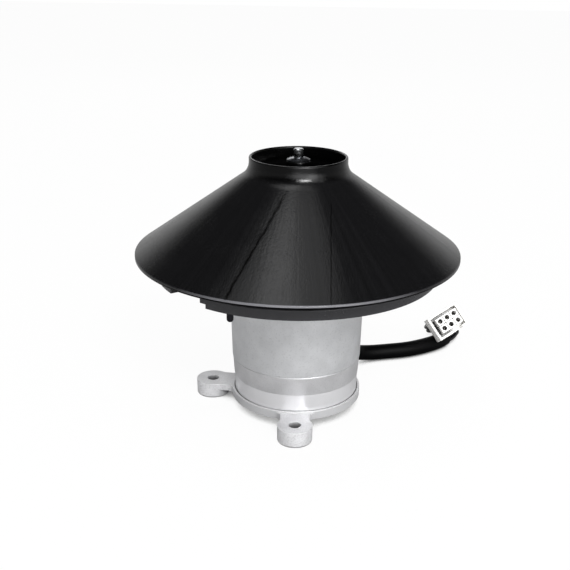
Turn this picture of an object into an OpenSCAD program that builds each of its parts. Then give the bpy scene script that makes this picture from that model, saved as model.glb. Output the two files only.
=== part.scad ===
// Boiler fan motor with its impeller: a mixed-flow wheel on a brushless motor with three foot lugs.
// Millimetres. The origin is under the shaft, on the plane of the feet, and +Z runs along the shaft.

/* [Wheel] */
// Outer diameter of the shroud at its open rim
wheel_d = 148; // [140:1:180]
// Outer diameter of the inlet collar
collar_d = 44.3; // [36:0.1:54]
// Height of the straight part of the inlet collar
collar_h = 6.5; // [5:0.1:10]
// Height of the shroud from its open rim to the top of the collar
shroud_h = 44; // [38:0.5:54]
// Wall of the shroud, square to its surface
shroud_wall = 1.6; // [1.2:0.1:2.4]
// Wall of the inlet collar
collar_wall = 1.3; // [1:0.1:2]
// Height of the upright edge of the shroud's rim
shroud_edge = 1.2; // [0.6:0.1:1.4]
// Radius of the blend between the collar and the cone
throat_r = 8; // [4:0.5:8.5]

/* [Hub plate] */
// Outer diameter of the hub plate's balancing rim
rim_d = 129.6; // [118:0.2:134]
// Height of the balancing rim
rim_h = 4.3; // [3.4:0.1:7]
// Radial width of the balancing rim
rim_w = 4.2; // [3.6:0.1:7]
// Wall of the conical hub plate, square to its surface
plate_wall = 1.8; // [1.4:0.1:2.6]
// Height that the hub plate's cone climbs for each millimetre towards the shaft
plate_slope = 0.59; // [0.5:0.01:0.62]
// Diameter of the hub at its top
hub_d = 10.6; // [9.6:0.1:14]
// Distance from the hub's top down from the collar's top
hub_drop = 2; // [0.5:0.1:4]
// Width of the balancing notch, in degrees
notch_angle = 18.3; // [10:0.1:24]

/* [Blades] */
// Number of blades
blade_n = 9; // [6:1:11]
// Thickness of a blade
blade_t = 1.5; // [1.2:0.1:2.2]
// Angle that a blade sweeps back from inlet to outlet, in degrees
blade_sweep = 62; // [45:1:75]
// Radius of a blade's curve
blade_curve = 62; // [50:1:90]

/* [Motor] */
// Outer diameter of the motor can at its lower edge
can_d = 60.8; // [58:0.2:68]
// Height of the motor can from the seam to its flat top
can_h = 49.3; // [46:0.1:58]
// Draft of the can's side, in degrees
can_draft = 1.4; // [0.5:0.1:2]
// Inner diameter of the can, where the stator sits
stator_d = 55; // [52:0.2:56]
// Height of the middle ring
ring_h = 8.8; // [8:0.1:12]
// Height of the turned band of the mounting base
band_h = 8; // [7.9:0.1:11]
// Outer diameter of the turned band
band_d = 58.6; // [56.6:0.2:60.4]
// Height of the stack of stator sheets
stack_h = 22; // [16:0.5:26]
// Number of stator teeth
tooth_n = 6; // [6:3:9]
// Bore of the stator
stator_bore = 29.2; // [26:0.2:32]

/* [Mounting base] */
// Height of a foot boss
boss_h = 7.2; // [6:0.1:10]
// Diameter of a foot boss
boss_d = 15.8; // [13:0.1:18]
// Diameter of the hole through a foot
foot_hole_d = 5.7; // [4.2:0.1:6.6]
// Radius of the circle that the foot holes lie on
foot_circle_r = 41.1; // [38:0.1:48]
// Angle between one foot and the next, in degrees
foot_angle = 98; // [90:1:120]
// Thickness of the base flange
flange_t = 3.2; // [2.6:0.1:4.5]
// Outer diameter of the base flange
flange_d = 61.4; // [61:0.2:66]
// Width of the neck that joins a foot to the flange
neck_w = 13.4; // [10:0.1:15]

/* [Shaft and bearings] */
// Diameter of the shaft in its bearings
shaft_d = 8; // [6:0.5:8]
// Diameter of the shaft in the hub
shaft_tip_d = 4.4; // [4:0.1:6]
// Height of the shaft's tip above the collar's top
tip_rise = 3.4; // [2:0.1:6]
// Outer diameter of a bearing
bearing_d = 22; // [22:0.5:24]
// Width of a bearing
bearing_w = 7; // [6:0.1:7]
// Number of balls in a bearing
ball_n = 7; // [6:1:7]

/* [Cable] */
// Outer diameter of the cable sleeve
sleeve_d = 8; // [7:0.1:8]
// Outer diameter of a lead wire
wire_d = 1.7; // [1.4:0.1:1.8]
// Spacing of the contacts in the connector
contact_pitch = 4.2; // [4.1:0.1:4.4]

/* [Hidden] */
$fn = 64;

// Clearances
// Between parts that are pressed or laid together
seat_gap = 0.05;
// Between the rotor and fixed parts near it
run_gap = 0.3;
// Between a ball and its raceways
ball_gap = 0.1;

// Heights, from the feet up
z_flange = boss_h - flange_t;
lip_h = 0.7;
z_band = boss_h + lip_h;
z_ring = z_band + band_h;
z_can = z_ring + ring_h;
z_can_top = z_can + can_h;

// The wheel hangs over the top of the can
rim_overlap = 7;
z_rim = z_can_top - rim_overlap;
z_rim_top = z_rim + rim_h;
// Height of the shroud's rim above the lower edge of the balancing rim
outlet_rise = 8.5;
z_shroud = z_rim + outlet_rise;
z_collar = z_shroud + shroud_h;
z_tip = z_collar + tip_rise;

// Radii
wheel_r = wheel_d / 2;
collar_r = collar_d / 2;
rim_r = rim_d / 2;
hub_r = hub_d / 2;
can_r = can_d / 2;
can_bore_r = stator_d / 2 + seat_gap;
band_r = band_d / 2;
flange_r = flange_d / 2;
shaft_r = shaft_d / 2;
tip_r = shaft_tip_d / 2;
bearing_r = bearing_d / 2;

// The shroud's cone and the hub plate's cone as heights over a radius
shroud_slope = (z_collar - collar_h - z_shroud - shroud_edge) / (wheel_r - collar_r);
shroud_drop = shroud_wall * sqrt(1 + shroud_slope * shroud_slope);
plate_drop = plate_wall * sqrt(1 + plate_slope * plate_slope);
function shroud_out(r) = z_shroud + shroud_edge + shroud_slope * (wheel_r - r);
function shroud_in(r) = shroud_out(r) - shroud_drop;
function plate_top(r) = z_rim_top + plate_slope * (rim_r - r);
function plate_low(r) = plate_top(r) - plate_drop;

// Blend between the collar and the cone: centre and tangent length
cone_angle = atan(shroud_slope);
throat_tangent = tan((90 - cone_angle) / 2);
throat_len = throat_r * throat_tangent;
throat_x = collar_r + throat_r;
throat_z = shroud_out(collar_r) + throat_len;

// Bearings, each seated in a pocket
z_lower_bearing = z_ring - bearing_w;
pocket_cover = 1.5;
z_upper_bearing = z_can_top - pocket_cover;
z_boss_top = z_upper_bearing + bearing_w + pocket_cover;
pocket_r = bearing_r + seat_gap;
pocket_wall = 3.5;
cup_neck_wall = 1.8;
cup_neck_r = pocket_r + cup_neck_wall;
ball_r = 1.98;
ball_track_r = (bearing_r + shaft_r) / 2;
land_gap = 3.2;
washer_t = 0.8;
top_plate_t = 4;
seal_r = shaft_r + 2.5;

// Hub, bush and shaft shoulder
hub_foot_r = 9;
hub_taper_h = 4;
z_hub = z_collar - hub_drop;
shoulder_gap = 6;
z_shoulder = z_boss_top + shoulder_gap;
bush_r = tip_r + 2.1;
bush_flange_r = bush_r + 1.6;
bush_flange_t = 1.5;
z_hub_low = z_shoulder + bush_flange_t;
bush_h = 24;

// Blades and the ribs under the hub plate
blade_in_r = hub_foot_r + 6;
blade_eye_r = collar_r + 3.3;
blade_out_r = wheel_r - 2.5;
blade_tip_angle = -67.5;
blade_sink = 0.6;
rib_t = 1.4;
rib_h = 3;

// Balancing: a milled notch and one pressed pin
notch_start = -138;
notch_depth = 7;
notch_step = 2.7;
notch_step_h = 1.9;
pin_angle = -107.3;
pin_r = 1.45;
pin_circle_r = rim_r - rim_w / 2;
pin_out = 4.2;
pin_in = 3;

// Stator
z_stack = (z_can + z_can_top) / 2 - stack_h / 2 - 1;
stator_r = stator_d / 2;
stator_bore_r = stator_bore / 2;
yoke_w = 4;
tooth_w = 6.6;
tip_t = 1.8;
slot_w = 2.4;
insulator_t = 1.2;
coil_t = 2.4;
magnet_n = 4;
air_gap = 0.7;
magnet_t = 3.3;
magnet_r = stator_bore_r - air_gap;
core_r = magnet_r - magnet_t - seat_gap;

// Control board, on the middle ring's ledge
ring_wall = 3.9;
ring_bore_r = band_r - ring_wall;
ledge_in_r = 19;
z_ledge = z_ring + 1.6;
ledge_t = 2;
board_r = 21;
board_t = 1.6;
z_board = z_ledge + ledge_t;
board_hole_r = 9;

// Clamp screws
screw_circle_r = 23.6;
screw_r = 2;
screw_head_r = 3.4;
screw_head_h = 2.2;
screw_hole_r = screw_r + 0.2;
screw_angles = [30, 150, 270];
screw_boss_r = 4;

// Cable outlet, clamped between the mounting base and the middle ring and dipping to the floor
outlet_angle = 60;
outlet_dip = 25;
outlet_r = 30;
grommet_r = sleeve_d / 2 + 0.9;
grommet_bore_r = sleeve_d / 2 + 0.1;
grommet_in = 5;
grommet_out = 2.5;
grommet_nose = 6.5;
foot_angles = [180 - foot_angle, 180, 180 + foot_angle];

// Route of the cable sleeve, from inside the grommet to its open end on the floor
sleeve_route = [
    [13.2, 22.9, 17.6], [15.0, 26.0, 15.9], [17.2, 29.9, 13.8], [19.5, 33.8, 11.7], [21.8, 37.7, 9.6],
    [24.1, 41.3, 7.7], [26.8, 44.7, 6.0], [30.1, 47.6, 4.9], [33.9, 49.9, 4.3], [38.1, 51.9, 4.1],
    [42.6, 53.7, 4.1], [47.3, 55.6, 4.1], [52.0, 57.9, 4.1], [56.2, 60.6, 4.1], [59.9, 63.4, 4.1],
    [63.2, 66.3, 4.1], [66.3, 69.4, 4.1], [69.1, 72.8, 4.1], [71.4, 76.4, 4.1]
];
sleeve_sides = 10;

// Connector: centre of its mating face, and the turns that aim it
plug_at = [72.8, 55.8, 23];
plug_yaw = 8;
plug_pitch = 28;
plug_roll = 33;
plug_len = 16;
plug_wall = 1.2;
plug_room = 1.3;
tower_proud = 4;
tower_root = 6;
tower_w = contact_pitch - 0.25;
tower_hole_r = 1.25;
contact_r = 1;
plug_w = 3 * contact_pitch + 2 * (plug_room + plug_wall);
plug_h = 2 * contact_pitch + 2 * (plug_room + plug_wall);

// Lead wires: a bundle that loops from the sleeve's end round to the back of the connector
wire_sides = 8;
wire_step_w = 2.15;
plug_n = [sin(plug_yaw) * cos(plug_pitch), -cos(plug_yaw) * cos(plug_pitch), sin(plug_pitch)];
plug_flat = [cos(plug_yaw), sin(plug_yaw), 0];
plug_up = cross(plug_n, plug_flat);
plug_a = cos(plug_roll) * plug_flat + sin(plug_roll) * plug_up;
plug_rear = plug_at - plug_len * plug_n;
loop_centre = [70.2, 89.6];
loop_r = 6.8;
bundle_route = concat(
    [[71.5, 76.6, 4.1], [73.4, 79.7, 4.1], [75, 82.9, 4.1]],
    [for (k = [0 : 7]) let (a = 30 * k - 30) concat(loop_centre + loop_r * [cos(a), sin(a)], 4.2 + 0.1 * k)],
    [[63.9, 86.3, 5.9], [66.3, 82.3, 8.3]],
    [for (d = [9, 4.5, 0.1]) plug_rear - d * plug_n]);
bundle_last = len(bundle_route) - 1;
// The wires keep their places round the bundle, and spread to the contacts over its last part
function unit(v) = v / norm(v);
function bundle_side(k) = k == bundle_last ? plug_a :
    let (v = bundle_side(k + 1), aim = route_aim(bundle_route, k)) unit(v - (v * aim) * aim);
function bundle_step(k) = let (t = max(0, (k - bundle_last + 5) / 5))
    wire_step_w + (contact_pitch - wire_step_w) * t * t * (3 - 2 * t);
function wire_route(i, j) = [for (k = [0 : bundle_last])
    let (side = bundle_side(k), aim = k == bundle_last ? plug_n : route_aim(bundle_route, k))
    bundle_route[k] + bundle_step(k) * (i * side + j / 2 * cross(aim, side))];

// Points of a round tube along a route: one ring at each point, square to the route
function route_aim(p, i) = unit(p[min(i + 1, len(p) - 1)] - p[max(i - 1, 0)]);
function ring_at(p, i, r, sides) =
    let (aim = route_aim(p, i), side = unit(cross(aim, [0, 0, 1])), up = cross(side, aim))
    [for (k = [0 : sides - 1]) p[i] + r * (cos(k * 360 / sides) * side + sin(k * 360 / sides) * up)];
function tube_points(p, r, sides) = [for (i = [0 : len(p) - 1]) each ring_at(p, i, r, sides)];
function tube_faces(rings, sides) = concat(
    [for (k = [1 : sides - 2]) [0, k, k + 1]],
    [for (i = [0 : rings - 2], k = [0 : sides - 1], half = [0, 1])
        let (a = i * sides + k, b = i * sides + (k + 1) % sides)
        half == 0 ? [a, a + sides, b] : [b, a + sides, b + sides]],
    [for (k = [1 : sides - 2]) let (a = (rings - 1) * sides) [a, a + k + 1, a + k]]);

// Ring with an upright bore
module tube(outer_r, inner_r, h) {
    difference() {
        cylinder(r = outer_r, h = h);
        translate([0, 0, -1]) cylinder(r = inner_r, h = h + 2);
    }
}

// Copies of a child round the shaft
module around(n, start = 0) {
    for (i = [0 : n - 1]) rotate([0, 0, start + i * 360 / n]) children();
}

// Rounding of the inner corner, where the air turns out from the collar
module throat_relief(inner_r, round_r) {
    tangent = round_r * throat_tangent;
    foot_x = inner_r + tangent * cos(cone_angle);
    z_top = shroud_in(inner_r) + tangent;
    spare = 0.5;
    difference() {
        polygon([
            [inner_r - spare, z_top],
            [inner_r + round_r, z_top],
            [foot_x, shroud_in(foot_x) - spare],
            [inner_r - spare, shroud_in(inner_r) - spare]
        ]);
        translate([inner_r + round_r, z_top]) circle(round_r);
    }
}

// Shroud: a cone with a short inlet collar, blended into each other
module shroud() {
    inner_r = collar_r - collar_wall;
    lip = collar_wall / 2;
    low_r = wheel_r - (shroud_drop - shroud_edge) / shroud_slope;
    foot_x = collar_r + throat_len * cos(cone_angle);
    bite = 0.01;
    color("#1b1b1d") rotate_extrude() difference() {
        union() {
            polygon([
                [wheel_r, z_shroud],
                [wheel_r, z_shroud + shroud_edge],
                [foot_x, shroud_out(foot_x)],
                [throat_x, throat_z],
                [collar_r, throat_z],
                [collar_r, z_collar - lip],
                [inner_r, z_collar - lip],
                [inner_r, shroud_in(inner_r)],
                [low_r, z_shroud]
            ]);
            translate([collar_r - lip, z_collar - lip]) circle(lip);
        }
        translate([throat_x, throat_z]) circle(throat_r + bite);
        throat_relief(inner_r, throat_r + collar_wall);
    }
}

// Half section of the hub plate: balancing rim, cone and hub
module plate_section() {
    rim_in = rim_r - rim_w;
    polygon([
        [rim_r, z_rim],
        [rim_r, z_rim_top],
        [hub_foot_r, plate_top(hub_foot_r)],
        [hub_r, plate_top(hub_foot_r) + hub_taper_h],
        [hub_r, z_hub],
        [0, z_hub],
        [0, z_hub_low],
        [hub_foot_r, z_hub_low],
        [hub_foot_r, plate_low(hub_foot_r)],
        [rim_in, plate_low(rim_in)],
        [rim_in, z_rim]
    ]);
}

// Notch that the balancing cutter leaves in the rim, with a shallow step at one end
module balancing_notch() {
    cut_r = rim_r - notch_depth;
    spare = 1;
    rotate([0, 0, notch_start]) rotate_extrude(angle = notch_angle) translate([cut_r, z_rim - spare])
        square([notch_depth + spare, plate_top(cut_r) - z_rim + 2 * spare]);
    rotate([0, 0, notch_start + notch_angle - 0.1]) rotate_extrude(angle = notch_step + 0.1)
        translate([cut_r, z_rim - spare]) square([notch_depth + spare, notch_step_h + spare]);
}

// One blade seen from above: a strip of even thickness along an arc that sweeps back
module blade_strip() {
    from = [blade_in_r - 2, 0];
    to = (blade_out_r + 1) * [cos(blade_sweep), -sin(blade_sweep)];
    chord = to - from;
    aim = unit(chord);
    centre = (from + to) / 2 + sqrt(pow(blade_curve, 2) - pow(norm(chord) / 2, 2)) * [aim[1], -aim[0]];
    intersection() {
        translate(centre) difference() {
            circle(blade_curve + blade_t / 2);
            circle(blade_curve - blade_t / 2);
        }
        polygon([centre, centre + 2 * (from - centre), centre + 2 * (to - centre)]);
    }
}

// Space between the hub plate and the shroud that the blades fill
module blade_room() {
    rotate_extrude() polygon([
        [blade_in_r, plate_top(blade_in_r) + seat_gap],
        [rim_r + seat_gap, z_rim_top + seat_gap],
        [blade_out_r, shroud_in(blade_out_r) - seat_gap],
        [blade_eye_r, shroud_in(blade_eye_r) - seat_gap]
    ]);
}

// Stiffening rib under the hub plate's cone
module plate_rib() {
    inner = hub_foot_r - 1;
    outer = rim_r - rim_w + 1;
    rotate([90, 0, 0]) linear_extrude(rib_t, center = true) polygon([
        [inner, plate_low(inner) + blade_sink],
        [outer, plate_low(outer) + blade_sink],
        [outer, plate_low(outer) - rib_h],
        [inner, plate_low(inner) - rib_h]
    ]);
}

// Blades, nine alike, moulded with the hub plate and kept apart so that the air passages stay open
module blades() {
    color("#1f1f22") intersection() {
        blade_room();
        around(blade_n, blade_tip_angle + blade_sweep) linear_extrude(z_collar) blade_strip();
    }
}

// Hub plate: cone, hub, balancing rim and ribs
module hub_plate() {
    color("#1f1f22") difference() {
        union() {
            difference() {
                rotate_extrude() plate_section();
                balancing_notch();
            }
            around(blade_n, blade_tip_angle) plate_rib();
        }
        translate([0, 0, z_hub_low - 1]) cylinder(r = bush_r + seat_gap, h = bush_h + 1 + seat_gap);
        translate([0, 0, z_hub_low]) cylinder(r = tip_r + seat_gap, h = z_hub);
        rotate([0, 0, pin_angle]) translate([pin_circle_r, 0, z_rim - 1])
            cylinder(r = pin_r + seat_gap, h = pin_in + 1 + seat_gap);
    }
}

// Bush that carries the hub on the shaft, with a flange under the hub
module hub_bush() {
    color("#b9a36a") translate([0, 0, z_shoulder]) difference() {
        union() {
            cylinder(r = bush_flange_r, h = bush_flange_t);
            cylinder(r = bush_r, h = bush_flange_t + bush_h);
        }
        translate([0, 0, -1]) cylinder(r = tip_r + seat_gap, h = bush_flange_t + bush_h + 2);
    }
}

// Domed push-on washer that locks the hub on the shaft
module hub_clip() {
    clip_r = hub_r - 0.1;
    rise = 1.4;
    sheet = 0.5;
    dome = (clip_r * clip_r + rise * rise) / (2 * rise);
    slots = 6;
    color("#55565a") translate([0, 0, z_hub]) difference() {
        rotate_extrude() intersection() {
            translate([0, rise - dome]) difference() {
                circle(dome + sheet);
                circle(dome);
            }
            translate([tip_r + seat_gap, 0]) square([clip_r - tip_r - seat_gap, rise + sheet]);
        }
        around(slots) translate([0, -0.3, 0]) cube([tip_r + 1.2, 0.6, rise + 1]);
    }
}

// Pin pressed into the rim to balance the wheel
module balance_pin() {
    color("#26262a") rotate([0, 0, pin_angle]) translate([pin_circle_r, 0, z_rim - pin_out])
    rotate_extrude() {
        translate([0, pin_r]) square([pin_r, pin_out + pin_in - pin_r]);
        intersection() {
            translate([0, pin_r]) circle(pin_r);
            square([pin_r, pin_r]);
        }
    }
}

// Shaft: full size through the bearings, a shoulder, and a slim end with a chamfered tip
z_shaft_low = z_flange + 2.5;
clip_groove = 0.5;
circlip_t = 1;
z_circlip = z_upper_bearing - circlip_t;
module shaft() {
    chamfer = 0.4;
    bottom = 0.6;
    color("#c9ccd0") rotate_extrude() polygon([
        [0, z_shaft_low],
        [shaft_r - bottom, z_shaft_low],
        [shaft_r, z_shaft_low + bottom],
        [shaft_r, z_circlip - seat_gap],
        [shaft_r - clip_groove, z_circlip - seat_gap],
        [shaft_r - clip_groove, z_upper_bearing],
        [shaft_r, z_upper_bearing],
        [shaft_r, z_shoulder],
        [tip_r, z_shoulder],
        [tip_r, z_tip - chamfer],
        [tip_r - chamfer, z_tip],
        [0, z_tip]
    ]);
}

// Stack of rotor sheets on the shaft
module rotor_core() {
    color("#7d8084") translate([0, 0, z_stack]) tube(core_r, shaft_r + seat_gap, stack_h);
}

// Magnet shells round the rotor
module rotor_magnets() {
    split = 6;
    reach = 1;
    color("#3a3b40") around(magnet_n) rotate([0, 0, split / 2]) rotate_extrude(angle = 360 / magnet_n - split)
        translate([core_r + seat_gap, z_stack - reach]) square([magnet_t, stack_h + 2 * reach]);
}

// Ring magnet that the sensors on the board read
sensor_h = 1.4;
sensor_gap = 0.8;
sensor_magnet_h = 3;
module sensor_magnet() {
    color("#2e2f33") translate([0, 0, z_board + board_t + sensor_h + sensor_gap])
        tube(shaft_r + 4, shaft_r + seat_gap, sensor_magnet_h);
}

// Open ring that holds the shaft under the upper bearing
module shaft_circlip() {
    ring_w = 1.9;
    mouth = 3;
    color("#8a8d92") translate([0, 0, z_circlip]) difference() {
        tube(shaft_r + ring_w - clip_groove, shaft_r - clip_groove + seat_gap, circlip_t - seat_gap);
        translate([0, -mouth / 2, -1]) cube([shaft_r + ring_w, mouth, circlip_t + 2]);
    }
}

// Half section of a bearing ring with its raceway
module race_section(inner_r, outer_r) {
    difference() {
        translate([inner_r, 0]) square([outer_r - inner_r, bearing_w]);
        translate([ball_track_r, bearing_w / 2]) circle(ball_r + ball_gap);
    }
}

module inner_ring() {
    color("#c4c7cb") rotate_extrude() race_section(shaft_r + seat_gap, ball_track_r - land_gap / 2);
}

module outer_ring() {
    color("#c4c7cb") rotate_extrude() race_section(ball_track_r + land_gap / 2, bearing_r);
}

module ball_set() {
    color("#d9dcdf") around(ball_n) translate([ball_track_r, 0, bearing_w / 2]) sphere(ball_r);
}

// Crown cage: a ring with one round pocket for each ball
module ball_cage() {
    cage_w = 1.2;
    below = 1;
    above = 2.9;
    color("#b58d4a") difference() {
        translate([0, 0, bearing_w / 2 - below])
            tube(ball_track_r + cage_w / 2, ball_track_r - cage_w / 2, below + above);
        around(ball_n) translate([ball_track_r, 0, bearing_w / 2]) sphere(ball_r + ball_gap);
    }
}

module upper_bearing_inner_ring() { translate([0, 0, z_upper_bearing]) inner_ring(); }
module lower_bearing_inner_ring() { translate([0, 0, z_lower_bearing]) inner_ring(); }
module upper_bearing_outer_ring() { translate([0, 0, z_upper_bearing]) outer_ring(); }
module lower_bearing_outer_ring() { translate([0, 0, z_lower_bearing]) outer_ring(); }
module upper_bearing_balls() { translate([0, 0, z_upper_bearing]) ball_set(); }
module lower_bearing_balls() { translate([0, 0, z_lower_bearing]) ball_set(); }
module upper_bearing_cage() { translate([0, 0, z_upper_bearing]) ball_cage(); }
module lower_bearing_cage() { translate([0, 0, z_lower_bearing]) ball_cage(); }

// Places the child at each clamp screw
module at_screws() {
    for (a = screw_angles) rotate([0, 0, a]) translate([screw_circle_r, 0, 0]) children();
}

// Cast can: drafted side, rounded shoulder and a boss for the upper bearing
spigot_h = 2.5;
screw_boss_h = 5.6;
z_screw_boss = z_can + spigot_h + 0.2;
module motor_can() {
    shoulder = 4;
    edge = 0.35;
    side_h = can_h - shoulder;
    top_r = can_r + side_h * tan(can_draft);
    color("#c3c4c7") difference() {
        rotate_extrude() {
            polygon([
                [0, z_can],
                [can_r - edge, z_can],
                [can_r, z_can + edge],
                [top_r, z_can_top - shoulder],
                [top_r - shoulder, z_can_top],
                [0, z_can_top]
            ]);
            translate([top_r - shoulder, z_can_top - shoulder]) circle(shoulder);
        }
        difference() {
            translate([0, 0, z_can - 1]) cylinder(r = can_bore_r, h = can_h - top_plate_t + 1);
            at_screws() translate([0, 0, z_screw_boss]) cylinder(r = screw_boss_r, h = screw_boss_h);
        }
        translate([0, 0, z_can]) cylinder(r = cup_neck_r + seat_gap, h = can_h * 2);
        at_screws() cylinder(r = screw_r + seat_gap, h = z_screw_boss + screw_boss_h - 1);
    }
}

// Turned cup, pressed into the top of the can, that holds the upper bearing and the seal
module bearing_cup() {
    edge = 0.4;
    cup_r = pocket_r + pocket_wall;
    color("#b9bcc0") rotate_extrude() polygon([
        [pocket_r, z_can_top - top_plate_t],
        [cup_neck_r, z_can_top - top_plate_t],
        [cup_neck_r, z_can_top + seat_gap],
        [cup_r, z_can_top + seat_gap],
        [cup_r, z_boss_top - edge],
        [cup_r - edge, z_boss_top],
        [seal_r + seat_gap, z_boss_top],
        [seal_r + seat_gap, z_boss_top - pocket_cover],
        [pocket_r, z_boss_top - pocket_cover]
    ]);
}

// Passage of the cable through the wall
module outlet_axis() {
    rotate([0, 0, outlet_angle]) translate([outlet_r, 0, z_ring]) rotate([0, 90 + outlet_dip, 0]) children();
}

module outlet_hole() {
    outlet_axis() translate([0, 0, -grommet_in - 4]) cylinder(r = grommet_r + seat_gap, h = grommet_in + 14);
}

// Middle ring between the can and the base, with the ledge that carries the board
module middle_ring() {
    low_r = band_r + 0.3;
    top_r = can_r - 0.2;
    edge = 0.3;
    spigot_r = can_bore_r - seat_gap;
    lip = 1.5;
    color("#a9abaf") difference() {
        rotate_extrude() {
            polygon([
                [ring_bore_r, z_ring],
                [low_r, z_ring],
                [top_r, z_can - edge],
                [top_r - edge, z_can],
                [spigot_r, z_can],
                [spigot_r, z_can + spigot_h],
                [ring_bore_r, z_can + spigot_h]
            ]);
            translate([ledge_in_r, z_ledge]) square([ring_bore_r - ledge_in_r + 1, ledge_t]);
            translate([ring_bore_r - seat_gap - lip, z_ring - lip]) square([lip, lip + z_ledge - z_ring + 1]);
        }
        at_screws() cylinder(r = screw_hole_r, h = z_can + 10);
        outlet_hole();
    }
}

// Fillet between a round plate and the side of a straight neck that leaves it
module neck_fillet(round_r, half_w, fillet_r) {
    x = sqrt(pow(round_r + fillet_r, 2) - pow(half_w + fillet_r, 2));
    centre = [x, half_w + fillet_r];
    bite = 0.01;
    difference() {
        polygon([[x / 2, 0], [x, 0], centre, centre * round_r / (round_r + fillet_r)]);
        translate(centre) circle(fillet_r + bite);
    }
}

// Flange and feet seen from above, blended into each other
module base_outline() {
    half_w = neck_w / 2;
    root_fillet = 3.5;
    boss_fillet = 5;
    circle(flange_r);
    for (a = foot_angles) rotate(a) {
        translate([0, -half_w]) square([foot_circle_r, neck_w]);
        translate([foot_circle_r, 0]) circle(boss_d / 2);
        for (side = [0, 1]) mirror([0, side]) {
            neck_fillet(flange_r, half_w, root_fillet);
            translate([foot_circle_r, 0]) mirror([1, 0]) neck_fillet(boss_d / 2, half_w, boss_fillet);
        }
    }
}

// Mounting base: flange with three feet, turned band and the seat of the lower bearing
cap_r = 9;
cap_t = 1.5;
module mounting_base() {
    floor_t = 4;
    groove_w = 0.4;
    wall_r = ring_bore_r;
    seat_r = pocket_r + pocket_wall;
    z_floor = z_flange + floor_t;
    pillar_drop = 1.8;
    boss_r = boss_d / 2 - 0.05;
    boss_edge = 0.5;
    color("#cfd0d2") difference() {
        union() {
            translate([0, 0, z_flange]) linear_extrude(flange_t) base_outline();
            translate([0, 0, boss_h]) tube(flange_r, band_r + groove_w, lip_h);
            difference() {
                translate([0, 0, z_flange]) cylinder(r = band_r, h = z_ring - z_flange);
                difference() {
                    translate([0, 0, z_floor]) tube(wall_r, seat_r, z_ring);
                    at_screws() cylinder(r = screw_boss_r, h = z_ring - pillar_drop);
                }
            }
            for (a = foot_angles) rotate([0, 0, a]) translate([foot_circle_r, 0, 0])
                rotate_extrude() polygon([
                    [0, 0], [boss_r - boss_edge, 0], [boss_r, boss_edge], [boss_r, z_flange + 1], [0, z_flange + 1]]);
        }
        for (a = foot_angles) rotate([0, 0, a]) translate([foot_circle_r, 0, -1])
            cylinder(d = foot_hole_d, h = boss_h + 2);
        translate([0, 0, z_lower_bearing - washer_t]) cylinder(r = pocket_r, h = z_ring);
        cylinder(r = shaft_r + 2, h = z_ring);
        cylinder(r = cap_r + seat_gap, h = z_flange + cap_t);
        at_screws() cylinder(r = screw_hole_r, h = z_ring + 1);
        at_screws() cylinder(r = screw_head_r + 0.3, h = z_flange + screw_head_h + 0.2);
        outlet_hole();
    }
}

// Cap pressed into the underside, below the lower bearing
module bottom_cap() {
    color("#9a9ca0") translate([0, 0, z_flange]) cylinder(r = cap_r, h = cap_t - seat_gap);
}

// Three screws that clamp the base and the ring to the can
module clamp_screws() {
    top = z_screw_boss + screw_boss_h - 1.5;
    z_head = z_flange + 0.2;
    key = 1.6;
    color("#b4b7bb") at_screws() difference() {
        union() {
            translate([0, 0, z_head]) cylinder(r = screw_head_r, h = screw_head_h);
            translate([0, 0, z_head]) cylinder(r = screw_r, h = top - z_head);
        }
        translate([0, 0, z_head - 1]) cylinder(r = key, h = 1 + screw_head_h / 2, $fn = 6);
    }
}

// Spring washer under the lower bearing, shown pressed flat
module wave_washer() {
    color("#a3a6aa") translate([0, 0, z_lower_bearing - washer_t])
        tube(pocket_r - 0.4, ball_track_r + land_gap / 2, washer_t);
}

// Lip seal round the shaft at the top of the can
module shaft_seal() {
    color("#2a2a2c") translate([0, 0, z_boss_top - pocket_cover])
        tube(seal_r, shaft_r + run_gap, pocket_cover + 0.4);
}

// Stator sheet seen from above
module stator_sheet(outer_r) {
    difference() {
        union() {
            difference() {
                circle(outer_r);
                circle(stator_r - yoke_w);
            }
            difference() {
                circle(stator_bore_r + tip_t);
                for (i = [0 : tooth_n - 1]) rotate((i + 0.5) * 360 / tooth_n) translate([0, -slot_w / 2])
                    square([stator_r, slot_w]);
            }
            for (i = [0 : tooth_n - 1]) rotate(i * 360 / tooth_n) translate([stator_bore_r, -tooth_w / 2])
                square([stator_r - yoke_w / 2 - stator_bore_r, tooth_w]);
        }
        circle(stator_bore_r);
    }
}

module stator_core() {
    color("#85888c") translate([0, 0, z_stack]) linear_extrude(stack_h) stator_sheet(stator_r);
}

// Insulating end plates between the sheets and the coils
module insulator() {
    color("#e6e4dc") linear_extrude(insulator_t) stator_sheet(stator_r - 1);
}

module upper_insulator() { translate([0, 0, z_stack + stack_h]) insulator(); }
module lower_insulator() { translate([0, 0, z_stack - insulator_t]) insulator(); }

// One coil round each tooth
module stator_coils() {
    slack = 0.2;
    from = stator_bore_r + tip_t + 2 * slack;
    inner_h = stack_h + 2 * insulator_t + 2 * slack;
    inner_w = tooth_w + 2 * slack;
    long = sqrt(pow(stator_r - yoke_w - slack, 2) - pow(inner_w / 2 + coil_t, 2)) - from;
    color("#b4652f") around(tooth_n) translate([from, 0, z_stack + stack_h / 2]) difference() {
        translate([long / 2, 0, 0]) cube([long, inner_w + 2 * coil_t, inner_h + 2 * coil_t], center = true);
        cube([4 * long, inner_w, inner_h], center = true);
    }
}

// Control board, resting on the ring's ledge
module control_board() {
    color("#2f6b45") translate([0, 0, z_board]) tube(board_r, board_hole_r, board_t);
}

module hall_sensors() {
    color("#222326") for (a = [0, 60, 120]) rotate([0, 0, a])
        translate([board_hole_r + 0.4, -2, z_board + board_t]) cube([3, 4, sensor_h]);
}

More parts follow.
